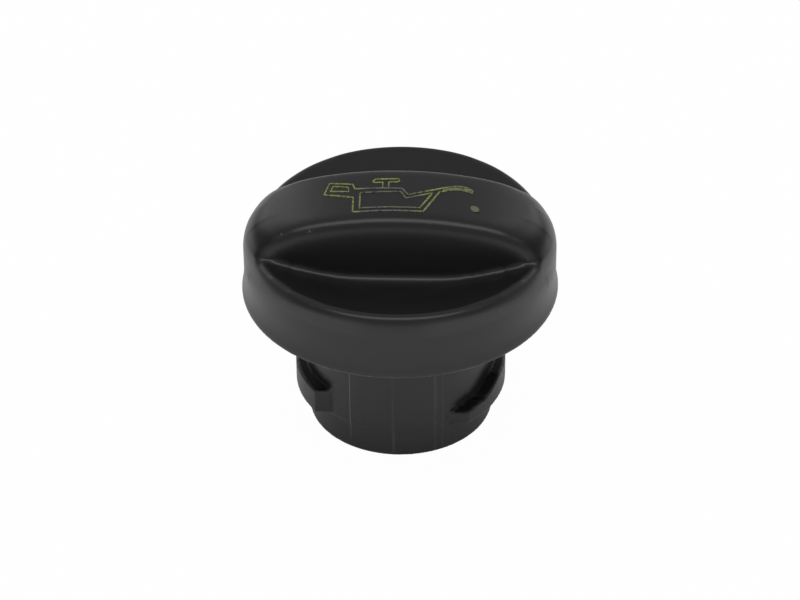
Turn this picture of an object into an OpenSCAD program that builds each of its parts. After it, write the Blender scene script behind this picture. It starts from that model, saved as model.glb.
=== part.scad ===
// Oil filler cap of a family car: a black moulded head with a straight grip across it,
// a hollow stem with two bayonet lugs, and a rubber sealing ring under the head.
// Millimetres, +Z up, the grip along X, the viewer on -Y. The origin is the centre of the stem's end.

/* [Head] */
// Outer diameter of the head at its lower edge
head_diameter = 64; // [62:0.5:68]
// How far the head's wall narrows above the flared lower edge
head_flare = 0.5; // [0.3:0.1:0.8]
// Radius of the soft shoulder over the wall at the grip's ends
shoulder_radius = 9; // [8.5:0.1:9.5]
// Thickness of the skirt that hangs round the stem
skirt_wall = 2.2; // [1.8:0.1:2.8]

/* [Rim and dish] */
// Radius of the rounded crest of the rim
crest_round = 1.2; // [0.9:0.1:1.5]
// Height of the crest over the lower edge, halfway between front and side
crest_height = 11.9; // [11.5:0.1:12.3]
// Radius of the hollow dish on each side of the grip
dish_radius = 84; // [80:1:90]
// Tilt of each half of the rim, highest at the front and at the back
crest_tilt = 4; // [3:0.5:5]

/* [Grip] */
// Height of the grip's crown over the head's lower edge
grip_height = 22.2; // [21:0.2:23]
// Width of the flat top of the grip
grip_flat = 15.5; // [14:0.5:16.5]
// Rounding along the grip's top edges
grip_round = 2; // [1.5:0.25:2.5]
// Draft of the grip's side walls in degrees
grip_draft = 7; // [5:0.5:8]
// Radius of the arch along the grip's crown
crown_radius = 80; // [76:1:90]
// Thickness of plastic over the hollow inside the grip
grip_wall = 2.5; // [2:0.1:3]

/* [Stem] */
// Outer diameter of the stem
stem_diameter = 38.2; // [37.4:0.2:38.8]
// Thickness of the stem's wall
stem_wall = 2.6; // [2.2:0.1:3]
// Length of stem that stands below the head's lower edge
stem_drop = 29.6; // [27:0.2:32]
// Rounding of the stem's lower outer edge
stem_round = 0.3; // [0.2:0.1:0.8]
// How much the stem narrows all round below the lugs
nose_relief = 0.2; // [0.15:0.05:0.3]

/* [Bayonet lugs] */
// Diameter over the two lugs
lug_diameter = 43.2; // [42.5:0.1:44.5]
// Underside of the lugs, above the stem's end
lug_bottom = 6.6; // [5.5:0.1:7.5]
// Thickness of a lug at its thick end
lug_thickness = 5.6; // [5:0.1:6]
// Thickness of a lug where its ramp begins
lug_thin = 3.6; // [3.2:0.1:4]
// Reach of a lug to its thick end, across the cap
lug_trail = 13.4; // [12:0.2:14.6]
// Reach of a lug to its thin end, across the cap
lug_lead = 16.3; // [15:0.1:16.8]

/* [Sealing ring] */
// Outer diameter of the sealing ring
ring_diameter = 51; // [49:0.5:52]
// Thickness of the sealing ring
ring_thickness = 3; // [2.4:0.1:3.5]
// Clearance between the ring's hole and the stem
ring_clearance = 0.15; // [0.1:0.05:0.3]
// Height of the ring's seat over the head's lower edge
seat_height = 8; // [7.6:0.1:8.2]

/* [Hidden] */
$fn = 160;
eps = 0.01;
head_radius = head_diameter / 2;
wall_radius = head_radius - head_flare;
skirt_radius = wall_radius - skirt_wall;
flare_height = 4.6;
lip_height = 0.8;
flare_arc = ((flare_height - lip_height) * (flare_height - lip_height) / head_flare + head_flare) / 2;

// The crown's axis runs across the cap, far below it
crown_axis = grip_height - crown_radius;
shoulder_gap = 0.06;
shoulder_centre = wall_radius - shoulder_radius;
shoulder_height = crown_axis + shoulder_gap
    + sqrt(pow(crown_radius - shoulder_radius, 2) - shoulder_centre * shoulder_centre);
crown_slope = 19;
cone_start = [shoulder_centre + shoulder_radius * sin(crown_slope),
              shoulder_height + shoulder_radius * cos(crown_slope)];
end_shift = 11.6;
end_slope = 50;
bar_sweep = 60;

// The crest circle touches the dish on its inner side and the rim's outer arc on the other
crest_radius = 28.3;
crest_centre = crest_height - crest_round;
crest_shift = 1.7;
dish_centre = crest_centre + sqrt(pow(dish_radius + crest_round, 2) - crest_radius * crest_radius);
dish_reach = dish_radius + crest_round;
dish_touch = [crest_radius * dish_radius / dish_reach,
              dish_centre - (dish_centre - crest_centre) * dish_radius / dish_reach];
rim_reach = 31.3;
rim_arc = 14;
rim_turn = asin((rim_arc - rim_reach + crest_radius) / (rim_arc - crest_round));
rim_centre = [crest_radius - (rim_arc - crest_round) * sin(rim_turn),
              crest_centre - (rim_arc - crest_round) * cos(rim_turn)];

stem_radius = stem_diameter / 2;
bore_radius = stem_radius - stem_wall;
bore_roof = 6.2;
ring_radius = ring_diameter / 2;
ring_hole = stem_radius + ring_clearance;
lug_radius = lug_diameter / 2;
groove_radius = ring_radius + 0.5;
groove_roof = 10.6;
rib_width = 1.8;
rib_count = 12;

// Everything the head may fill: flared wall, shoulder, and a cone that clears the crown
module envelope_profile() {
    difference() {
        square([head_radius, flare_height]);
        translate([wall_radius + flare_arc, flare_height]) circle(flare_arc);
    }
    polygon([[0, flare_height], [wall_radius, flare_height], [wall_radius, shoulder_height],
             cone_start, [0, cone_start[1] + cone_start[0] * tan(crown_slope)]]);
    translate([shoulder_centre, shoulder_height]) circle(shoulder_radius);
}

module envelope() {
    rotate_extrude() envelope_profile();
}

// Section of the dish and its rim, before each half is tilted
module rim_profile() {
    difference() {
        union() {
            polygon([[0, -2], [crest_radius, -2], [crest_radius, crest_centre], dish_touch,
                     [0, dish_touch[1]]]);
            translate([0, -2]) square([2 * crest_radius, rim_centre[1] + 2]);
            intersection() {
                translate(rim_centre) circle(rim_arc);
                polygon([[rim_centre[0], 0], [2 * crest_radius, 0],
                         [2 * crest_radius, crest_centre + crest_radius / tan(rim_turn)],
                         rim_centre]);
            }
            translate([crest_radius, crest_centre]) circle(crest_round);
        }
        translate([0, dish_centre]) circle(dish_radius);
    }
}

// One half of the dished head, tilted so that its rim stands highest in the middle
module rim_half() {
    intersection() {
        translate([0, -crest_shift, crest_height]) rotate([-crest_tilt, 0, 0])
            translate([0, 0, -crest_height]) rotate([0, 0, 90]) rotate_extrude() rim_profile();
        translate([-head_diameter, -head_diameter, -grip_height])
            cube([2 * head_diameter, head_diameter, 2 * grip_height]);
    }
}

// Section across the grip, seen along it; x is the distance from the crown's axis
module grip_section(inset, foot) {
    top = crown_radius - inset;
    edge = grip_flat / 2 - inset / 2;
    centre = [top - grip_round, edge];
    touch = centre + grip_round * [sin(grip_draft), cos(grip_draft)];
    base = touch[1] + (touch[0] - foot) * tan(grip_draft);
    polygon([[foot, -base], [touch[0], -touch[1]], [centre[0], -centre[1]], [top, -edge],
             [top, edge], centre, touch, [foot, base]]);
    for (side = [-1, 1]) translate([centre[0], side * centre[1]]) circle(grip_round);
}

// A straight bar along X whose top follows the crown's arch
module grip_bar(inset, foot) {
    translate([0, 0, crown_axis]) rotate([90, 0, 0]) rotate([0, 0, 90 - bar_sweep / 2])
        rotate_extrude(angle = bar_sweep) grip_section(inset, foot);
}

// Rounds the grip's ends in plan: the envelope's outline, turned about an axis nearer each end
module end_envelope() {
    for (side = [-1, 1]) translate([side * end_shift, 0, 0]) rotate_extrude() intersection() {
        translate([-end_shift, 0]) union() {
            envelope_profile();
            polygon([[0, 0], [cone_start[0], 0], cone_start,
                     [0, cone_start[1] + cone_start[0] * tan(end_slope)]]);
        }
        square([head_radius, 2 * grip_height]);
    }
    translate([-end_shift, -grip_flat, 0]) cube([2 * end_shift, 2 * grip_flat, 2 * grip_height]);
}

// The head's outside: both halves of the dish and the grip, cut by the envelope
module head_outside() {
    intersection() {
        envelope();
        union() {
            rim_half();
            rotate([0, 0, 180]) rim_half();
            intersection() {
                end_envelope();
                grip_bar(0, crown_radius - 18);
            }
        }
    }
}

// One lug: flat underneath, with a thin leading end, a ramp and a thick trailing end
module lug() {
    intersection() {
        difference() {
            cylinder(r = lug_radius, h = stem_drop);
            translate([0, 0, -eps]) cylinder(r = bore_radius + 1, h = stem_drop + 2 * eps);
        }
        rotate([90, 0, 90]) linear_extrude(height = head_radius) polygon([
            [-lug_lead, lug_bottom],
            [lug_trail, lug_bottom],
            [lug_trail, lug_bottom + lug_thickness],
            [-6.9, lug_bottom + lug_thickness],
            [-11.8, lug_bottom + lug_thin],
            [-11.8, lug_bottom + lug_thin - 0.35],
            [-13.9, lug_bottom + lug_thin - 0.15],
            [-lug_lead, lug_bottom + lug_thin - 1]]);
    }
}

// Outside of the stem: a nose that enters the neck first, and the full shaft from the lugs up
module stem_outside() {
    nose_radius = stem_radius - nose_relief;
    rotate_extrude() union() {
        translate([0, lug_bottom]) square([stem_radius, stem_drop + seat_height + 1 - lug_bottom]);
        translate([0, stem_round]) square([nose_radius, lug_bottom + 1 - stem_round]);
        square([nose_radius - stem_round, stem_round + 1]);
        translate([nose_radius - stem_round, stem_round]) circle(stem_round);
    }
}

// Open space under the head, round the stem: a flat seat, and a cored groove outside it
module skirt_hollow() {
    difference() {
        union() {
            translate([0, 0, -1]) cylinder(r = skirt_radius, h = seat_height + 1);
            difference() {
                cylinder(r = skirt_radius, h = groove_roof);
                translate([0, 0, -1]) cylinder(r = groove_radius, h = groove_roof + 2);
                for (i = [0 : rib_count - 1]) rotate([0, 0, (i + 0.5) * 360 / rib_count])
                    translate([groove_radius - 1, -rib_width / 2, seat_height])
                        cube([head_radius, rib_width, groove_roof]);
            }
        }
        translate([0, 0, -2]) cylinder(r = stem_radius, h = seat_height + 4);
    }
}

// Hollow of the stem, with the grip's own hollow above it
module stem_hollow() {
    translate([0, 0, -1]) cylinder(r = bore_radius, h = stem_drop + bore_roof + 1);
    intersection() {
        cylinder(r = bore_radius, h = stem_drop + grip_height);
        translate([0, 0, stem_drop]) grip_bar(grip_wall, crown_radius - 19);
    }
}

// The whole moulding: head, grip, skirt, stem and lugs in one piece
module cap_moulding() {
    color([0.03, 0.03, 0.032]) difference() {
        union() {
            difference() {
                translate([0, 0, stem_drop]) head_outside();
                translate([0, 0, stem_drop]) skirt_hollow();
            }
            stem_outside();
            lug();
            rotate([0, 0, 180]) lug();
        }
        stem_hollow();
    }
}

// Flat rubber ring that seats under the head, round the stem
module sealing_ring() {
    color([0.02, 0.02, 0.02]) translate([0, 0, stem_drop + seat_height - ring_thickness])
        difference() {
            cylinder(r = ring_radius, h = ring_thickness);
            translate([0, 0, -1]) cylinder(r = ring_hole, h = ring_thickness + 2);
        }
}

cap_moulding();
sealing_ring();
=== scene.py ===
import math
import bpy
from mathutils import Matrix, Vector


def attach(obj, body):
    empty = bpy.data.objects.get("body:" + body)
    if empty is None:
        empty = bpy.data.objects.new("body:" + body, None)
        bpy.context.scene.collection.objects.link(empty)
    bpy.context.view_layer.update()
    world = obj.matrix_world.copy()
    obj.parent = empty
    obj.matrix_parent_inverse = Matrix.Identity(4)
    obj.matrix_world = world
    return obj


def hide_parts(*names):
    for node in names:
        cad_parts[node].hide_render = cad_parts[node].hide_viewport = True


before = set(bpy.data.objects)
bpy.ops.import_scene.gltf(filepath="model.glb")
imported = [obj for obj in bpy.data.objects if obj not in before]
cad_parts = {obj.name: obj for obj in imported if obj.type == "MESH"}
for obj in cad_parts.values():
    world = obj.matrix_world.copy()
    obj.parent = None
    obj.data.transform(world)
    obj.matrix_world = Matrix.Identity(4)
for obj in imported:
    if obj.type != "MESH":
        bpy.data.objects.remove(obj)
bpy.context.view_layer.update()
scene = bpy.context.scene


# The moulding is one shot of black glass-filled nylon: head, grip, skirt, hollow stem and lugs.
# It comes out of a satin tool, so it is smooth with a fine grain, and handling has scuffed
# its edges a little. Its skin here is the CAD solid's own, on an even mesh with softer edges.
class Wire:
    """A shader socket that sums can be written on, each adding its Math node."""

    def __init__(self, finish, socket):
        self.finish, self.socket = finish, socket

    def sum(self, kind, *others):
        return self.finish.node("ShaderNodeMath", {"operation": kind},
                                dict(enumerate((self,) + others)))

    def __add__(self, other):
        return self.sum("ADD", other)

    def __radd__(self, other):
        return self.sum("ADD", other)

    def __sub__(self, other):
        return self.sum("SUBTRACT", other)

    def __rsub__(self, other):
        return self.finish.node("ShaderNodeMath", {"operation": "SUBTRACT"}, {0: other, 1: self})

    def __mul__(self, other):
        return self.sum("MULTIPLY", other)

    def __rmul__(self, other):
        return self.sum("MULTIPLY", other)

    def power(self, other):
        return self.sum("POWER", other)

    def size(self):
        return self.sum("ABSOLUTE")

    def least(self, other):
        return self.sum("MINIMUM", other)

    def most(self, other):
        return self.sum("MAXIMUM", other)

    def ramp(self, low, high):
        """0 below low and 1 above high, with a soft change between."""
        return self.finish.node("ShaderNodeMapRange",
                                {"interpolation_type": "SMOOTHSTEP", "clamp": True},
                                {"Value": self, "From Min": low, "From Max": high})


class Finish:
    """The nodes of a material or of the world."""

    def __init__(self, block, shader="Principled BSDF"):
        block.use_nodes = True
        self.block = block
        self.tree = block.node_tree
        self.shader = self.tree.nodes[shader]

    def node(self, kind, settings=None, values=None, out=0):
        """Adds one node and gives one of its outputs."""
        made = self.tree.nodes.new(kind)
        for key, value in (settings or {}).items():
            setattr(made, key, value)
        self.fill(made, values or {})
        return Wire(self, made.outputs[out])

    def fill(self, made, values):
        """Sets inputs of a node to values, or joins them to sockets."""
        for key, value in values.items():
            if isinstance(value, Wire):
                self.tree.links.new(value.socket, made.inputs[key])
            else:
                made.inputs[key].default_value = value

    def noise(self, place, scale, detail=2.0, rough=0.5):
        return self.node("ShaderNodeTexNoise", {}, {"Vector": place, "Scale": scale,
                                                    "Detail": detail, "Roughness": rough})

    def mix(self, share, low, high):
        """Between two colours by a share."""
        made = self.tree.nodes.new("ShaderNodeMix")
        made.data_type = "RGBA"
        self.fill(made, {0: share, 6: low, 7: high})
        return Wire(self, made.outputs[2])

    def bump(self, height, strength, distance):
        return self.node("ShaderNodeBump", {}, {"Height": height, "Strength": strength,
                                                "Distance": distance})

    def place(self, kind="Object"):
        """Coordinates of one kind, and each of the three apart."""
        spot = self.node("ShaderNodeTexCoord", {}, {}, kind)
        parts = self.tree.nodes.new("ShaderNodeSeparateXYZ")
        self.tree.links.new(spot.socket, parts.inputs[0])
        return (spot,) + tuple(Wire(self, parts.outputs[i]) for i in range(3))


def deselect():
    bpy.ops.object.select_all(action="DESELECT")


def skin_of(node_name, piece_name):
    """A welded copy of a CAD node's mesh, which stands for the node."""
    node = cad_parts[node_name]
    deselect()
    node.select_set(True)
    bpy.context.view_layer.objects.active = node
    bpy.ops.object.duplicate()
    piece = bpy.context.view_layer.objects.active
    piece.name = piece_name
    piece.data.name = piece_name
    piece.parent = None
    for key in [key for key in piece.keys() if key.startswith("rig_")]:
        del piece[key]
    bpy.ops.mesh.customdata_custom_splitnormals_clear()
    bpy.ops.object.mode_set(mode="EDIT")
    bpy.ops.mesh.select_all(action="SELECT")
    bpy.ops.mesh.remove_doubles(threshold=0.000002)
    bpy.ops.object.mode_set(mode="OBJECT")
    piece.data.materials.clear()
    return piece


def even_out(piece, voxel):
    """Gives a piece an even mesh, on which its edges can be softened."""
    deselect()
    piece.select_set(True)
    bpy.context.view_layer.objects.active = piece
    even = piece.modifiers.new("even_mesh", "REMESH")
    even.mode = "VOXEL"
    even.voxel_size = voxel
    even.use_smooth_shade = True
    bpy.ops.object.modifier_apply(modifier=even.name)


def soften(piece, rounds, inside=None):
    """Softens the edges of a piece as a mould does, everywhere or where a test holds."""
    soft = piece.modifiers.new("soft_edges", "SMOOTH")
    soft.factor = 0.5
    soft.iterations = rounds
    if inside:
        group = piece.vertex_groups.new(name="softer")
        group.add([v.index for v in piece.data.vertices if inside(*v.co)], 1.0, "REPLACE")
        soft.vertex_group = group.name
    bpy.ops.object.modifier_apply(modifier=soft.name)
    piece.vertex_groups.clear()


def thin_out(piece, share):
    """Keeps a share of a piece's triangles, most of them where it curves."""
    thin = piece.modifiers.new("fewer_faces", "DECIMATE")
    thin.ratio = share
    bpy.ops.object.modifier_apply(modifier=thin.name)
    bpy.ops.object.shade_smooth()


nylon = Finish(bpy.data.materials.new("satin_black_nylon"))
spot, along, across, height = nylon.place()
cloudy = nylon.noise(spot, 55.0, 3.0)
grain = nylon.noise(spot, 2600.0, 2.0, 0.6)
swept = nylon.node("ShaderNodeMapping", {}, {"Vector": spot, "Scale": (260, 2400, 900)})
scratches = nylon.noise(swept, 1.0, 3.0, 0.7)
specks = nylon.noise(spot, 900.0, 3.0, 0.7).ramp(0.66, 0.72)
radius = (along * along + across * across).power(0.5)

# Small specks are rubbed into the grip's long edges and the rim's crest.
grip_edge = 0.0088
rim_crest = 0.0307
edge_rub = (across.size() - grip_edge).size().ramp(0.0012, 0.0002) * height.ramp(0.0455, 0.0485)
rim_rub = (radius - rim_crest).size().ramp(0.0012, 0.0003) * height.ramp(0.0395, 0.0415)
rub = (edge_rub + rim_rub).least(1.0) * specks * cloudy.ramp(0.45, 0.62)

# The shoulder is painted pale, most of all beside the middle: partly wear from hands, partly a
# painted highlight where the lights reflect in it.
shoulder_radius = 0.0304
shoulder_band = (radius - shoulder_radius).size().ramp(0.0017, 0.0002) \
    * height.ramp(0.0382, 0.0396) * height.ramp(0.0428, 0.0412)
shoulder_wear_and_highlight = shoulder_band * (0.15 + along.size().ramp(0.003, 0.010)) * (0.6 + cloudy * 0.8)

# The mould's joints leave upright lines on the stem, by degrees round from the front. A thin line
# of flash runs along the skirt's lower edge, painted pale as the highlight that its lip catches.
stem_radius = 0.0190
skirt_foot = 0.02975
turned = along.sum("ARCTAN2", across * -1)
joint_lines = 0
for degrees, half, share in ((-30.6, 0.26, 1.0), (-2.6, 0.8, 0.22), (23.4, 0.9, 0.22),
                             (28.5, 0.25, 0.3), (149.4, 0.26, 1.0), (177.4, 0.8, 0.22),
                             (-156.6, 0.9, 0.22)):
    joint_lines = (turned - math.radians(degrees)).size().ramp(
        math.radians(half * 1.7), math.radians(half * 0.5)) * share + joint_lines
drawn = nylon.node("ShaderNodeMapping", {}, {"Vector": spot, "Scale": (900, 900, 120)})
streaks = nylon.noise(drawn, 1.0, 3.0, 0.6)
joint_lines = joint_lines * (radius - stem_radius).size().ramp(0.0006, 0.0004) \
    * height.ramp(0.0300, 0.0292) * streaks.ramp(0.25, 0.65)
flash_with_highlight = (height - skirt_foot).size().ramp(0.00028, 0.00010) * radius.ramp(0.0312, 0.0315) \
    * nylon.noise(spot, 420.0, 3.0, 0.7).ramp(0.42, 0.60)

# The stem's inner corners are too sharp to mirror the bright room. The even mesh rounds them a
# little, so painted shade keeps them dark here: they are made partly metallic, so they mirror only
# the black.
bend = nylon.node("ShaderNodeNewGeometry", {}, {}, "Pointiness")
corner_painted_shade = bend.ramp(0.495, 0.475) * height.ramp(0.0296, 0.0290)

deep_black = (0.0055, 0.0055, 0.0060, 1)
# Scuffs, wear and the painted highlights on the shoulder and along the skirt's lower edge all mix
# the black towards one grey.
scuff_and_highlight_grey = (0.16, 0.16, 0.155, 1)
scuffs_and_highlights = rub * 0.5 + scratches.ramp(0.70, 0.78) * 0.04 + shoulder_wear_and_highlight * 0.13 \
    + joint_lines * 0.55 + flash_with_highlight * 0.35
nylon.fill(nylon.shader, {
    "Base Color": nylon.mix(scuffs_and_highlights, deep_black, scuff_and_highlight_grey),
    "Roughness": 0.27 + cloudy * 0.06 + rub * 0.25,
    "Metallic": corner_painted_shade * 0.6,
    "Normal": nylon.bump(grain + scratches * 0.25, 0.10, 0.00006),
    "IOR": 1.6,
})

# The head is softened more than the stem, and again at the rim, at the grip's long edges and in
# the dish.
head_from = 0.0320
rim_from = 0.0350
grip_edge_from = 0.0425
dish_from = 0.0370
grip_side = 0.0102
dish_edge = 0.0235
cap = skin_of("cap_moulding", "black_cap")
even_out(cap, voxel=0.00036)
soften(cap, 1)
soften(cap, 6, lambda x, y, z: z > head_from)
soften(cap, 60, lambda x, y, z: z > rim_from and abs(y) > grip_side
       and dish_edge < math.hypot(x, y) < 0.0317)
soften(cap, 100, lambda x, y, z: z > grip_edge_from and 0.0030 < abs(y) < 0.0110)
soften(cap, 50, lambda x, y, z: z > dish_from and abs(y) > grip_side
       and math.hypot(x, y) < dish_edge)
thin_out(cap, share=0.42)
cap.data.materials.append(nylon.block)
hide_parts("cap_moulding")
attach(cap, "root")


# The sealing ring is stamped from black oil-resistant rubber and pushed up the stem until it
# seats under the head. It has a dull skin with a faint bloom, and its edges are slightly soft.
rubber = Finish(bpy.data.materials.new("seal_rubber"))
spot = rubber.place()[0]
bloom = rubber.noise(spot, 120.0, 4.0, 0.6)
pits = rubber.noise(spot, 1800.0, 3.0, 0.7)
rubber.fill(rubber.shader, {
    "Base Color": rubber.mix(bloom.ramp(0.4, 0.75) * 0.5, (0.012, 0.012, 0.012, 1),
                             (0.03, 0.03, 0.031, 1)),
    "Roughness": 0.62 + bloom * 0.2,
    "Normal": rubber.bump(pits, 0.25, 0.0001),
})
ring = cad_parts["sealing_ring"]
ring.data.materials.clear()
ring.data.materials.append(rubber.block)


# The sign on the grip is a plain oil can with a drop, moulded as fine raised lines on the crown.
# The lines carry a yellow-green paint that has worn grey along the can's long edges, has faded
# on the spout, and is missing in small spots.
crown_top = 0.0518
crown_radius = 0.080
line_half = 0.00019
spout_half = 0.00055
spout_sink = 0.00042


def on_crown(x, y, sink=0.0):
    """A place on the crown, or sunk under it, from millimetres along and across."""
    x, y = x / 1000, y / 1000
    return Vector((x, y, crown_top - sink - crown_radius + math.sqrt(crown_radius ** 2 - x ** 2)))


def raised_line(name, points, closed, half=line_half, sink=0.0):
    """A round-topped line that follows points on the crown, in steps of about 1.2 mm."""
    deselect()
    here = on_crown(*points[0], sink)
    bpy.ops.mesh.primitive_plane_add(size=0.001, location=here)
    line = bpy.context.view_layer.objects.active
    line.name = name
    bpy.ops.object.transform_apply(location=True, rotation=True, scale=True)
    bpy.ops.object.mode_set(mode="EDIT")
    bpy.ops.mesh.select_all(action="SELECT")
    bpy.ops.mesh.merge(type="CENTER")
    for x, y in list(points[1:]) + ([points[0]] if closed else []):
        there = on_crown(x, y, sink)
        steps = max(1, int((there - here).length / 0.0012))
        stops = [here.lerp(there, step / steps) for step in range(steps + 1)]
        stops = [on_crown(stop.x * 1000, stop.y * 1000, sink) for stop in stops]
        for last, stop in zip(stops, stops[1:]):
            bpy.ops.mesh.extrude_region_move(TRANSFORM_OT_translate={"value": stop - last})
        here = there
    bpy.ops.mesh.select_all(action="SELECT")
    bpy.ops.mesh.remove_doubles(threshold=0.00001)
    bpy.ops.object.mode_set(mode="OBJECT")
    bpy.ops.object.convert(target="CURVE")
    line.data.bevel_depth = half
    line.data.bevel_resolution = 3
    line.data.use_fill_caps = True
    bpy.ops.object.convert(target="MESH")
    line = bpy.context.view_layer.objects.active
    line.name = name
    line.data.name = name
    bpy.ops.object.shade_smooth_by_angle(angle=math.radians(50))
    return line


paint = Finish(bpy.data.materials.new("worn_green_paint"))
spot, along, across = paint.place()[:3]
patches = paint.noise(spot, 900.0, 3.0, 0.6)
worn = (1 - (along + 0.0015).size().ramp(0.0042, 0.0075)) * patches.ramp(0.25, 0.5) \
    * across.ramp(0.0032, 0.0022)
missing = paint.noise(spot, 1500.0, 3.0, 0.7).ramp(0.52, 0.64)
green = paint.mix(patches.ramp(0.3, 0.7), (0.16, 0.19, 0.040, 1), (0.26, 0.29, 0.10, 1))
faded = along.ramp(0.0085, 0.0100) * (0.6 + 0.4 * across.ramp(-0.0005, -0.0015))
colour = paint.mix(worn, green, (0.11, 0.115, 0.10, 1))
colour = paint.mix(faded, colour, (0.115, 0.12, 0.070, 1))
paint.fill(paint.shader, {
    "Base Color": paint.mix(missing * 0.85, colour, (0.015, 0.015, 0.015, 1)),
    "Roughness": 0.5 + patches * 0.2,
    "Normal": paint.bump(patches, 0.3, 0.00005),
})

# Points of each line in millimetres along and across the grip, and whether the line is closed.
can_lines = {
    "can_outline": ([(-15.0, 0.8), (-14.1, 4.6), (-9.4, 3.4), (-8.9, 1.7), (0.5, 1.4), (1.8, -0.8),
                     (7.1, 1.6), (8.2, 2.2), (10.1, 3.1), (11.3, 3.6), (12.4, 3.7), (13.5, 3.5),
                     (14.6, 2.8), (14.4, 1.9), (13.3, 2.3), (12.2, 2.5), (11.1, 2.3), (10.1, 1.9),
                     (8.0, 1.0), (4.9, -6.4), (-9.0, -6.4), (-9.1, -1.3)], True),
    "can_handle_window": ([(-13.8, 1.7), (-13.3, 3.4), (-10.3, 2.5), (-10.1, 0.9)], True),
    "can_body_window": ([(-7.8, 0.2), (0.3, 0.3), (1.4, -2.0), (6.6, 0.3), (4.2, -5.2),
                         (-7.7, -5.2)], True),
    "can_filler_knob": ([(-2.2, 1.5), (-2.2, 3.7), (-0.4, 3.7), (-0.1, 4.2), (-0.3, 4.8),
                         (-4.9, 4.8), (-5.4, 4.1), (-5.2, 3.6), (-3.4, 3.6), (-3.4, 1.5)], False),
}
pieces = [raised_line(name, *shape) for name, shape in can_lines.items()]
spout_line = [(8.6, 1.7), (10.1, 2.45), (11.2, 2.95), (12.3, 3.1), (13.4, 2.9), (14.2, 2.4)]
pieces.append(raised_line("can_spout", spout_line, False, spout_half, spout_sink))
for line in pieces:
    line.data.materials.clear()
    line.data.materials.append(paint.block)
    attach(line, "root")

# The drop is a low oval bead, set aslant under the spout's tip.
deselect()
bpy.ops.mesh.primitive_uv_sphere_add(segments=32, ring_count=16, radius=0.00085,
                                     location=on_crown(15.0, -3.4),
                                     rotation=(0, 0, math.radians(-50)))
drop = bpy.context.view_layer.objects.active
drop.name = "oil_drop"
drop.scale = (1.40, 0.98, 0.3)
bpy.ops.object.shade_smooth()
bpy.ops.object.transform_apply(location=True, rotation=True, scale=True)
drop.data.materials.append(paint.block)
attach(drop, "root")


# The table is a seamless white sweep, lit so softly that it is white right behind the cap and
# keeps only a faint shadow round the stem's foot.
deselect()
bpy.ops.mesh.primitive_plane_add(size=6.0, location=(0, 0, -0.0001))
table = bpy.context.view_layer.objects.active
table.name = "white_table"
sweep = Finish(bpy.data.materials.new("white_sweep"))
sweep.fill(sweep.shader, {"Base Color": (0.72, 0.72, 0.72, 1), "Roughness": 0.9})
seen = sweep.node("ShaderNodeLightPath", {}, {}, "Is Camera Ray")
glow = sweep.node("ShaderNodeEmission", {}, {"Color": (1, 1, 1, 1), "Strength": 1.0})
lit = Wire(sweep, sweep.shader.outputs[0])
blend = sweep.node("ShaderNodeMixShader", {}, {0: seen * 0.98, 1: lit, 2: glow})
sweep.tree.links.new(blend.socket, sweep.tree.nodes["Material Output"].inputs["Surface"])
table.data.materials.append(sweep.block)

# The room is white to the camera, pale to dull surfaces, and a dim grey in reflections, darkest
# far out to both sides.
room = Finish(bpy.data.worlds.new("white_room"), "Background")
scene.world = room.block
seen = room.node("ShaderNodeLightPath", {}, {}, "Is Camera Ray")
mirrored = room.node("ShaderNodeLightPath", {}, {}, "Is Glossy Ray")
heading = room.place("Generated")
sideways = heading[1].size().ramp(0.55, 0.85)
room.fill(room.shader, {"Color": (1, 1, 1, 1),
                        "Strength": (0.75 - mirrored * (0.45 + sideways * 0.18)).most(seen)})


def soft_box(name, place, wide, tall, glow):
    """A studio panel that faces the cap; its glow is 1 where it is as bright as white."""
    data = bpy.data.lights.new(name, "AREA")
    data.shape = "RECTANGLE"
    data.size = wide
    data.size_y = tall
    data.energy = glow * math.pi * wide * tall
    lamp = bpy.data.objects.new(name, data)
    scene.collection.objects.link(lamp)
    aim = (Vector((0, 0, 0.04)) - Vector(place)).to_track_quat("-Z", "Y")
    lamp.matrix_world = Matrix.Translation(place) @ aim.to_matrix().to_4x4()


soft_box("top_box", (0.0, -0.32, 0.98), 1.2, 0.62, 1.2)
soft_box("back_left_box", (-0.62, 0.85, 0.45), 0.55, 0.5, 0.6)
soft_box("back_right_box", (0.62, 0.85, 0.45), 0.55, 0.5, 0.6)

# The camera looks down at the cap from the front by about 36 degrees, from 0.6 m. It stands a
# little to the right and leans a little, and it aims just under the skirt's lower edge.
look_down = math.radians(35.9)
turn = math.radians(2.3)
level = math.radians(0.5)
distance = 0.6
shift_left = 0.00005
shift_down = 0.00335
focal_heights = 4.93
sensor_mm = 36.0
right = Vector((1, 0, 0))
forward = Vector((0, math.cos(look_down), -math.sin(look_down)))
up = Vector((0, math.sin(look_down), math.cos(look_down)))
eye = Vector((0, 0, 0.0296)) - distance * forward - shift_left * right - shift_down * up
side = math.cos(level) * right - math.sin(level) * up
top = math.sin(level) * right + math.cos(level) * up
stand = Matrix((side, top, -forward)).transposed().to_4x4()
stand.translation = eye
camera_data = bpy.data.cameras.new("studio_camera")
camera_data.sensor_width = sensor_mm
camera_data.lens = focal_heights * 600 * sensor_mm / 800
camera_data.clip_start = 0.01
camera = bpy.data.objects.new("studio_camera", camera_data)
scene.collection.objects.link(camera)
camera.matrix_world = Matrix.Rotation(turn, 4, "Z") @ stand
scene.camera = camera
scene.view_settings.view_transform = "Standard"
